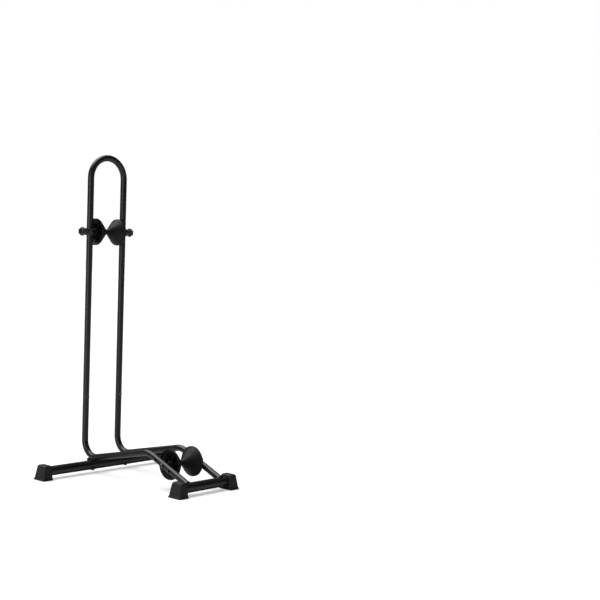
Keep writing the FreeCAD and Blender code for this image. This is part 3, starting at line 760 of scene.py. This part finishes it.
def stiffener_rings(rim, half):
    """The shallow ring that joins the ribs, from inside the cup's wall."""
    deep = half - RIB_RECESS
    middle_r = (HUB_R + rim) / 2 + 0.001
    slope_run = half - RIM_BAND - SLOPE_END_BACK - WAIST_LENGTH
    slant = slope_run / (rim - SLOPE_END_IN - WAIST_R - WAIST_FLARE)
    outer_r = middle_r + STIFFENER_HALF
    start = WAIST_LENGTH + (outer_r - WAIST_R - WAIST_FLARE) * slant + 0.0014
    return [(start, middle_r - STIFFENER_HALF), (deep - 0.001, middle_r - 0.0009), (deep - 0.0006, middle_r),
            (deep - 0.001, middle_r + 0.0009), (start, outer_r)]


def make_cone(node, side):
    rim = extent(node).z / 2
    half = extent(node).y
    centre = middle(node)
    place = on_axis((centre.x, 0, centre.z), (0, side, 0))
    bm = bmesh.new()
    turned(bm, cone_rings(rim, half), place, steps=120, closed=True)
    rib = rib_outline(rim, half)
    for n in range(RIB_COUNT):
        angle = 2 * math.pi * n / RIB_COUNT + math.radians(RIB_TURN_DEG)
        prism(bm, rib, RIB_THICK, place @ Matrix.Rotation(angle, 4, "Z"))
    turned(bm, stiffener_rings(rim, half), place, steps=96, closed=True)
    piece(node + "_moulding", bm, node, sharp_deg=30)


def sleeve_rings(start, length, outer, bore, bevel):
    """A plain ring with broken outer edges."""
    end = start + length
    rings = rounded_edge(start, outer, bevel, False)
    rings += rounded_edge(end, outer, bevel, True)
    return rings + [(end, bore), (start, bore)]


BUSH_GAP = 0.00006
BUSH_BEVEL = 0.0004
RING_GAP = 0.0002
WASHER_THICK = 0.0016
WASHER_BEVEL = 0.0003
SPACER_BEVEL = 0.0007
SPACER_PLAY = 0.0004
SPACER_THICK = LEG_Y - TUBE_R - extent("lower_bush").y / 2 - SPACER_PLAY


def make_bush(node):
    half = extent(node).y / 2
    bm = bmesh.new()
    rings = sleeve_rings(-half, 2 * half, extent(node).x / 2, AXLE_R + BUSH_GAP, BUSH_BEVEL)
    turned(bm, rings, on_axis(middle(node), (0, 1, 0)), steps=48, closed=True)
    piece(node + "_tube", bm, node)


def make_pair(node, thick, bevel, suffix):
    """Two like rings on an axle, one each side, from the box round both."""
    size = extent(node)
    centre = middle(node)
    near = size.y / 2 - thick
    for side_name, side in SIDES.items():
        bm = bmesh.new()
        rings = sleeve_rings(near, thick, size.x / 2, AXLE_R + RING_GAP, bevel)
        turned(bm, rings, on_axis((centre.x, 0, centre.z), (0, side, 0)), steps=56, closed=True)
        piece("%s_%s_%s" % (node, suffix, side_name), bm, node)


# ------------------------------------------------------------ fasteners
THREAD_PITCH = 0.00125
THREAD_DEPTH = 0.0007
BOLT_SEAT_GAP = 0.0001
SCREW_SEAT_GAP = 0.00005


def thread_rings(start, length, radius, steps_per_turn=8):
    """Rings of a right-hand thread, whose crest moves on with the angle."""
    count = max(2, round(length / THREAD_PITCH * steps_per_turn))
    rings = []
    for n in range(count + 1):
        share = n / steps_per_turn

        def rule(angle, share=share):
            phase = (share - angle / (2 * math.pi)) % 1.0
            return radius - THREAD_DEPTH * (1 - abs(2 * phase - 1))
        rings.append((start + length * n / count, rule))
    return rings


def screw(bm, seat, inward, shank_r, shank_length, head_r, head_height, socket_r, skirt, threaded=0.0):
    """A round-head screw with a hexagon socket, its shank pointing inwards from the seat.

    The head's skirt reaches past the seat, into a round wall's curve.
    """
    place = on_axis(seat, inward)
    dome = []
    for n in range(7):
        angle = math.pi / 2 * n / 6
        dome.append((-head_height * math.sin(angle), head_r * (1 - 0.42 * (1 - math.cos(angle)))))
    floor = -head_height + min(head_height * 0.62, 0.0026)
    rings = [(floor + 0.0004, 0), (floor, hexagon(socket_r * 0.98)),
             (-head_height + 0.0002, hexagon(socket_r)), (-head_height, hexagon(socket_r * 1.08))]
    rings += list(reversed(dome))
    rings += [(skirt, head_r * 0.985), (skirt, shank_r)]
    plain = shank_length - threaded
    rings.append((plain, shank_r))
    if threaded:
        rings += thread_rings(plain + 0.0002, threaded - 0.001, shank_r)
    rings += [(shank_length, shank_r * 0.8), (shank_length, 0)]
    turned(bm, rings, place, steps=60)


def make_frame_bolts():
    """The low-head bolts that come up through the rear bar, square on to the heels."""
    bar = middle("rear_bar")
    line = Vector((LEG_X + HEEL_R - bar.x, 0, HEEL_Z - bar.z)).normalized()
    for side_name, side in SIDES.items():
        seat = Vector((bar.x, LEG_Y * side, bar.z)) - line * (BAR_R + BOLT_SEAT_GAP)
        bm = bmesh.new()
        screw(bm, seat, line, shank_r=AXLE_R, shank_length=0.040, head_r=0.0062, head_height=0.0024,
              socket_r=0.0024, skirt=0.0014)
        piece("frame_bolt_" + side_name, bm, "frame_bolts")


def make_joint_screws():
    """The screws that hold the hoop's legs on the rails' spigots."""
    height = middle("joint_screws").z
    for side_name, side in SIDES.items():
        seat = Vector((LEG_X + TUBE_R + SCREW_SEAT_GAP, LEG_Y * side, height))
        bm = bmesh.new()
        screw(bm, seat, (-1, 0, 0), shank_r=0.0025, shank_length=0.008, head_r=0.0046, head_height=0.0026,
              socket_r=0.0017, skirt=0.0011)
        piece("joint_screw_" + side_name, bm, "joint_screws")


def make_lower_axle():
    low, high = (Vector(corner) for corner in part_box("lower_axle"))
    head = 0.0044
    seat = Vector((LOWER.x, low.y + head, LOWER.z))
    bm = bmesh.new()
    screw(bm, seat, (0, 1, 0), shank_r=AXLE_R, shank_length=high.y - seat.y, head_r=0.007, head_height=head,
          socket_r=0.0029, skirt=0.0, threaded=0.012)
    piece("lower_axle_bolt", bm, "lower_axle")


def make_lower_nut():
    """The lock nut: a chamfered hexagon and the round collar of its insert."""
    low, high = (Vector(corner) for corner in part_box("lower_nut"))
    corner_r = extent("lower_nut").x / 2
    hexes = hexagon(corner_r)
    length = high.y - low.y
    flats = length - 0.0015
    bore = AXLE_R + 0.0003

    def chamfered(limit):
        return lambda angle: min(hexes(angle), limit)
    flat_r = corner_r * math.cos(math.pi / 6)
    rings = [(0.0, chamfered(flat_r * 1.02)), (0.0006, chamfered(corner_r * 0.97)), (0.0012, hexes),
             (flats - 0.0012, hexes), (flats - 0.0006, chamfered(corner_r * 0.97)),
             (flats, chamfered(flat_r * 1.02)), (flats, 0.0058), (length - 0.0005, 0.0056), (length, 0.0051),
             (length, bore), (0.0, bore)]
    bm = bmesh.new()
    turned(bm, rings, on_axis((LOWER.x, low.y, LOWER.z), (0, 1, 0)), steps=96, closed=True)
    piece("lower_lock_nut", bm, "lower_nut")


def make_rod(node, threaded):
    """A plain rod along Y with broken ends, or one threaded all along."""
    half = extent(node).y / 2
    end_r = AXLE_R * 0.85
    rings = [(-half, 0), (-half, end_r)]
    if threaded:
        rings += thread_rings(-half + 0.0004, 2 * half - 0.0008, AXLE_R)
    else:
        rings += [(-half + 0.0006, AXLE_R), (half - 0.0006, AXLE_R)]
    rings += [(half, end_r), (half, 0)]
    bm = bmesh.new()
    turned(bm, rings, on_axis(middle(node), (0, 1, 0)), steps=48)
    piece(node + "_rod", bm, node)


# ------------------------------------------------------------ carriage
COLLAR_R = 0.013
KNOB_BOSS_R = 0.01025
AXLE_BOSS_R = 0.0075
COLLAR_BORE_R = TUBE_R + 0.00007
COLLAR_BEVEL = 0.0011
BOSS_START = TUBE_R + 0.0006
BOSS_BEVEL = 0.0008
BOSS_WELD_R = 0.0009
BOSS_WELD_RIPPLES = 18
BOSS_BORE_R = AXLE_R + 0.0001
STUD_BORE_R = AXLE_R + 0.00013
STUD_CUTTER_REACH = 0.03


def boss_loop(sleeve_r, boss_r, side, outward, count=72):
    """Where a boss meets the collar's sleeve, as a loop of points."""
    points = []
    for n in range(count):
        angle = 2 * math.pi * n / count
        x = boss_r * math.cos(angle)
        z = boss_r * math.sin(angle)
        y = LEG_Y * side + outward * math.sqrt(sleeve_r ** 2 - x ** 2)
        points.append(Vector((UPPER.x + x, y, UPPER.z + z)))
    return points


def make_collar(side_name, side):
    """A sleeve on a leg with a boss each side, bored through both for the stud and the axle."""
    node = "collar_" + side_name
    low, high = (Vector(corner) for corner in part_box(node))
    bm = bmesh.new()
    rings = sleeve_rings(0.0, high.z - low.z, COLLAR_R, COLLAR_BORE_R, COLLAR_BEVEL)
    turned(bm, rings, on_axis((UPPER.x, LEG_Y * side, low.z), (0, 0, 1)), steps=72, closed=True)
    outer_y, inner_y = (high.y, low.y) if side > 0 else (low.y, high.y)
    ends = {side: abs(outer_y) - LEG_Y, -side: LEG_Y - abs(inner_y)}
    for outward, radius in ((side, KNOB_BOSS_R), (-side, AXLE_BOSS_R)):
        boss = sleeve_rings(BOSS_START, ends[outward] - BOSS_START, radius, BOSS_BORE_R, BOSS_BEVEL)
        turned(bm, boss, on_axis((UPPER.x, LEG_Y * side, UPPER.z), (0, outward, 0)), steps=64, closed=True)
        bead(bm, boss_loop(COLLAR_R, radius, side, outward), BOSS_WELD_R, BOSS_WELD_RIPPLES)
    collar = piece(node + "_body", bm, node)
    through = on_axis((UPPER.x, LEG_Y * side, UPPER.z), (0, 1, 0))
    reach = STUD_CUTTER_REACH
    cut_away(collar, lambda tool: pin(tool, STUD_BORE_R, -reach, reach, through, steps=60),
             shells_overlap=True)
    settle(collar)


# Distances along a knob start at its end towards the leg.
KNOB_LOBES = 6
KNOB_NECK_R = 0.0090
KNOB_VALLEY_R = 0.0099
KNOB_BORE_R = AXLE_R + 0.0002
KNOB_BORE_DEPTH = 0.0126
CAP_R = 0.0074
CAP_POCKET = 0.0026
CAP_DOME = 0.0009


def make_knob(side_name, side):
    """A lobed grip on a round neck, with a domed cap let into its face.

    The bare offsets place the roundings from the neck to the grip and from the grip to its face.
    """
    node = "knob_" + side_name
    length = extent(node).y
    peak = extent(node).x / 2
    near = min(abs(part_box(node)[0][1]), abs(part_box(node)[1][1]))

    def lobed(valley, crest):
        def rule(angle):
            share = (0.5 - 0.5 * math.cos(KNOB_LOBES * angle)) ** 0.75
            return valley + (crest - valley) * share
        return rule
    neck = KNOB_NECK_R
    rings = [(KNOB_BORE_DEPTH, 0), (KNOB_BORE_DEPTH, KNOB_BORE_R), (0.0, KNOB_BORE_R),
             (0.0, neck - 0.0006), (0.0006, neck), (0.0034, neck)]
    for n in range(6):
        angle = math.pi / 2 * n / 5
        out = math.sin(angle)
        valley = neck + (KNOB_VALLEY_R - neck) * out
        rings.append((0.0066 - 0.0020 * math.cos(angle), lobed(valley, neck + (peak - neck) * out)))
    rings.append((length - 0.0062, lobed(KNOB_VALLEY_R, peak)))
    for n in range(7):
        angle = math.pi / 2 * n / 6
        back = 1 - math.cos(angle)
        rings.append((length - 0.0056 + 0.0044 * math.sin(angle),
                      lobed(0.0098 - 0.0012 * back, peak - 0.0032 * back)))
    pocket = length - CAP_POCKET
    rings += [(length - 0.0011, lobed(0.0080, 0.0084)), (length - 0.0010, CAP_R + 0.0004),
              (pocket, CAP_R + 0.0002), (pocket, 0)]
    place = on_axis((UPPER.x, near * side, UPPER.z), (0, side, 0))
    bm = bmesh.new()
    turned(bm, rings, place, steps=96)
    piece(node + "_grip", bm, node, sharp_deg=40)
    face = [(pocket, 0), (pocket, CAP_R), (length - CAP_DOME, CAP_R)]
    for n in range(1, 6):
        share = n / 5
        rise = CAP_DOME * math.sin(math.pi / 2 * share)
        face.append((length - CAP_DOME + rise, CAP_R * (1 - share) ** 0.8))
    bm = bmesh.new()
    turned(bm, face, place, steps=64)
    cap = piece(node + "_cap", bm, node, replaces=False)
    cap.data.materials[0] = MATERIALS["knob_cap"]


# ------------------------------------------------------------ stage, light, camera
FLOOR_REACH = 14.0
SKY_STRENGTH = 0.065
BACKDROP_STRENGTH = 1.0
SUN_STRENGTH = 4.4
SUN_SPREAD_DEG = 60
SUN_FROM = (-0.40, -0.12, 1.0)
SOFTBOX_AT = (0.4, -3.2, 1.0)
SOFTBOX_AIM = (0.0, 0.0, 0.4)
SOFTBOX_SIZE = (1.6, 2.2)
SOFTBOX_WATTS = 38.0

# The photograph's viewing angle, solved from the stand and the wheel in it.
EYE = Vector((2.6354, -2.2653, 0.7267))
LOOK = Vector((-0.67185, 0.73873, -0.0543))
UP = Vector((-0.0607, 0.0182, 0.998))
FOCAL_MM = 71.49
SENSOR_MM = 36.0


def build_floor():
    mesh = bpy.data.meshes.new("floor")
    reach = FLOOR_REACH
    corners = [(-reach, -reach, 0), (reach, -reach, 0), (reach, reach, 0), (-reach, reach, 0)]
    mesh.from_pydata(corners, [], [(0, 1, 2, 3)])
    floor = bpy.data.objects.new("floor", mesh)
    bpy.context.scene.collection.objects.link(floor)
    floor.data.materials.append(floor_finish())


def area_light(name, place, target, size, power):
    light = bpy.data.lights.new(name, "AREA")
    light.shape = "RECTANGLE"
    light.size, light.size_y = size
    light.energy = power
    lamp = bpy.data.objects.new(name, light)
    lamp.location = place
    lamp.rotation_euler = (Vector(target) - Vector(place)).to_track_quat("-Z", "Y").to_euler()
    bpy.context.scene.collection.objects.link(lamp)


def build_world():
    """A bright backdrop for the eye, and a dimmer sky for what the black parts reflect."""
    world = bpy.data.worlds.new("studio")
    world.use_nodes = True
    tree = world.node_tree
    sky = tree.nodes["Background"]
    sky.inputs["Color"].default_value = (1.0, 1.0, 1.0, 1.0)
    sky.inputs["Strength"].default_value = SKY_STRENGTH
    backdrop = tree.nodes.new("ShaderNodeBackground")
    backdrop.inputs["Color"].default_value = (1.0, 1.0, 1.0, 1.0)
    backdrop.inputs["Strength"].default_value = BACKDROP_STRENGTH
    path = tree.nodes.new("ShaderNodeLightPath")
    mix = tree.nodes.new("ShaderNodeMixShader")
    tree.links.new(path.outputs["Is Camera Ray"], mix.inputs["Fac"])
    tree.links.new(sky.outputs["Background"], mix.inputs[1])
    tree.links.new(backdrop.outputs["Background"], mix.inputs[2])
    tree.links.new(mix.outputs["Shader"], tree.nodes["World Output"].inputs["Surface"])
    bpy.context.scene.world = world


def build_light():
    build_world()
    sun = bpy.data.lights.new("overhead_sun", "SUN")
    sun.energy = SUN_STRENGTH
    sun.angle = math.radians(SUN_SPREAD_DEG)
    lamp = bpy.data.objects.new("overhead_sun", sun)
    lamp.rotation_euler = Vector(SUN_FROM).to_track_quat("Z", "Y").to_euler()
    bpy.context.scene.collection.objects.link(lamp)
    area_light("left_softbox", SOFTBOX_AT, SOFTBOX_AIM, SOFTBOX_SIZE, SOFTBOX_WATTS)


def build_camera():
    data = bpy.data.cameras.new("camera")
    data.sensor_width = SENSOR_MM
    data.lens = FOCAL_MM
    camera = bpy.data.objects.new("camera", data)
    back = -LOOK.normalized()
    right = UP.cross(back).normalized()
    over = back.cross(right)
    turn = Matrix((right, over, back)).transposed()
    camera.matrix_world = Matrix.Translation(EYE) @ turn.to_4x4()
    bpy.context.scene.collection.objects.link(camera)
    bpy.context.scene.camera = camera


build_materials()
build_floor()
build_light()
build_camera()
make_hoop()
make_bars()
for side_name, side in SIDES.items():
    make_rail(side_name, side)
    rail_weld(side_name, side)
    make_saddle(side_name, side)
    make_foot("rear_foot_" + side_name)
    make_foot("front_foot_" + side_name)
    make_cone("lower_cone_" + side_name, side)
    make_cone("upper_cone_" + side_name, side)
    make_collar(side_name, side)
    make_knob(side_name, side)
    make_rod("knob_stud_" + side_name, True)
make_bush("lower_bush")
make_bush("upper_bush")
make_pair("lower_washers", WASHER_THICK, WASHER_BEVEL, "disc")
make_pair("upper_washers", WASHER_THICK, WASHER_BEVEL, "disc")
make_pair("lower_spacers", SPACER_THICK, SPACER_BEVEL, "sleeve")
make_frame_bolts()
make_joint_screws()
make_lower_axle()
make_lower_nut()
make_rod("upper_axle", False)
bpy.context.scene.view_settings.view_transform = "Standard"
